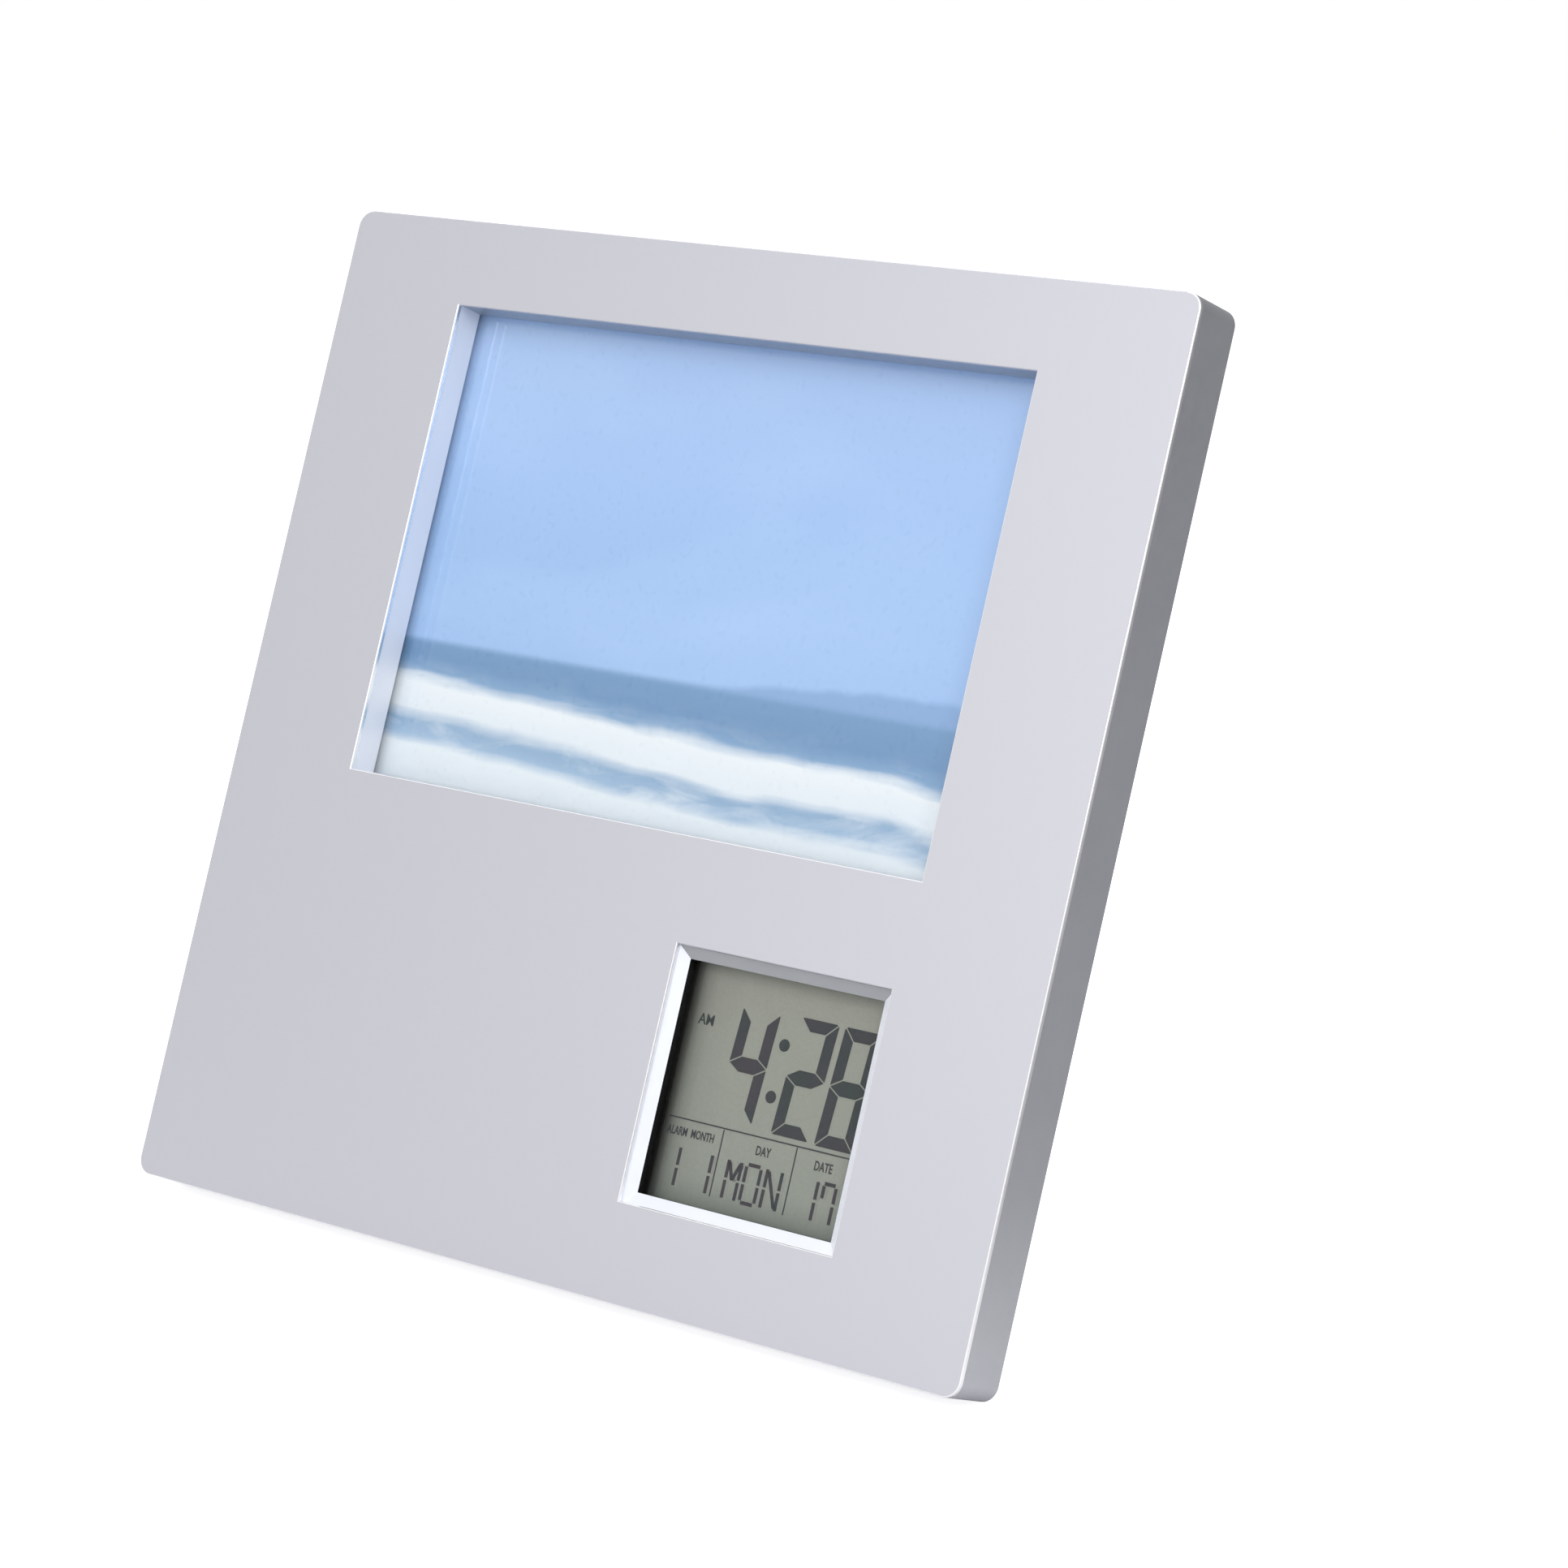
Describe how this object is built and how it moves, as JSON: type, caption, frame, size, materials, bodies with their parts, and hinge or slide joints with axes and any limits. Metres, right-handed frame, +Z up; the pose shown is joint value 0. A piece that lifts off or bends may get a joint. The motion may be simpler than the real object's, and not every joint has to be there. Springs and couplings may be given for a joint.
{
  "type": "photo frame clock",
  "caption": "Square silver picture frame leaning on a hinged diagonal leg, with a picture window, a digital readout and a turning round clock module with push buttons.",
  "frame": {"origin": "middle of the part's bounding box on the table, as the frame stands leaning on its leg", "axes": "+Z up, +X to the right seen from the front, +Y to the back, where the leg's foot is; the front face looks along -Y and up"},
  "size_m": [0.18, 0.1162, 0.1772],
  "materials": {
    "face": "satin",
    "shell": "satin",
    "pane": "polished",
    "print": "semi-gloss",
    "board": "matte",
    "cover": "satin",
    "leg": "satin",
    "button": "satin",
    "screw": "satin",
    "contact": "plated",
    "cell": "satin",
    "lead_red": "gloss",
    "lead_black": "gloss",
    "display": "satin",
    "rubber": "matte",
    "board_green": "gloss",
    "chip": "gloss",
    "buzzer": "satin"
  },
  "bodies": {
    "frame": {"face_plate": "face", "frame_shell": "shell", "photo_glass": "pane", "photo_print": "print", "backing_board": "board", "back_cover": "cover", "cover_screws": "screw", "detent_spring": "screw", "battery_cells": "cell", "battery_link": "contact", "battery_plus": "contact", "battery_minus": "contact", "lead_plus": "lead_red", "lead_minus": "lead_black"},
    "battery_lid": {"battery_door": "cover"},
    "picture_door": {"photo_door": "cover"},
    "leg": {"support_leg": "leg"},
    "clock_module": {"module_carrier": "cover", "display_lens": "pane", "lcd_panel": "display", "zebra_strips": "rubber", "circuit_board": "board_green", "controller_blob": "chip", "crystal_can": "screw", "buzzer_disc": "buzzer", "keypad_mat": "rubber", "control_disc": "cover", "module_screws": "screw"},
    "button_1": {"button_1": "button"},
    "button_2": {"button_2": "button"},
    "button_3": {"button_3": "button"},
    "button_4": {"button_4": "button"},
    "button_5": {"button_5": "button"},
    "button_6": {"button_6": "button"}
  },
  "joints": [
    {"name": "picture_door_hinge", "type": "hinge", "parent": "frame", "child": "picture_door", "pos_m": [0, -0.02547, 0.07504], "axis": [-1, 0, 0], "range_deg": [0, 50]},
    {"name": "leg_hinge", "type": "hinge", "parent": "picture_door", "child": "leg", "pos_m": [0.0166, -0.01853, 0.10279], "axis": [0.7071, -0.1762, -0.6848], "range_deg": [-40, 0]},
    {"name": "module_turn", "type": "hinge", "parent": "frame", "child": "clock_module", "pos_m": [0.039, -0.04836, 0.04066], "axis": [0, 0.9684, -0.2492], "range_deg": [0, 90]},
    {"name": "battery_lid_lift", "type": "slide", "parent": "frame", "child": "battery_lid", "axis": [0, 0.9684, -0.2492], "range_m": [0, 0.006]},
    {"name": "button_1_press", "type": "slide", "parent": "clock_module", "child": "button_1", "axis": [0, -0.9684, 0.2492], "range_m": [0, 0.0008], "stiffness_N_per_m": 1200},
    {"name": "button_2_press", "type": "slide", "parent": "clock_module", "child": "button_2", "axis": [0, -0.9684, 0.2492], "range_m": [0, 0.0008], "stiffness_N_per_m": 1200},
    {"name": "button_3_press", "type": "slide", "parent": "clock_module", "child": "button_3", "axis": [0, -0.9684, 0.2492], "range_m": [0, 0.0008], "stiffness_N_per_m": 1200},
    {"name": "button_4_press", "type": "slide", "parent": "clock_module", "child": "button_4", "axis": [0, -0.9684, 0.2492], "range_m": [0, 0.0008], "stiffness_N_per_m": 1200},
    {"name": "button_5_press", "type": "slide", "parent": "clock_module", "child": "button_5", "axis": [0, -0.9684, 0.2492], "range_m": [0, 0.0008], "stiffness_N_per_m": 1200},
    {"name": "button_6_press", "type": "slide", "parent": "clock_module", "child": "button_6", "axis": [0, -0.9684, 0.2492], "range_m": [0, 0.0008], "stiffness_N_per_m": 1200}
  ]
}
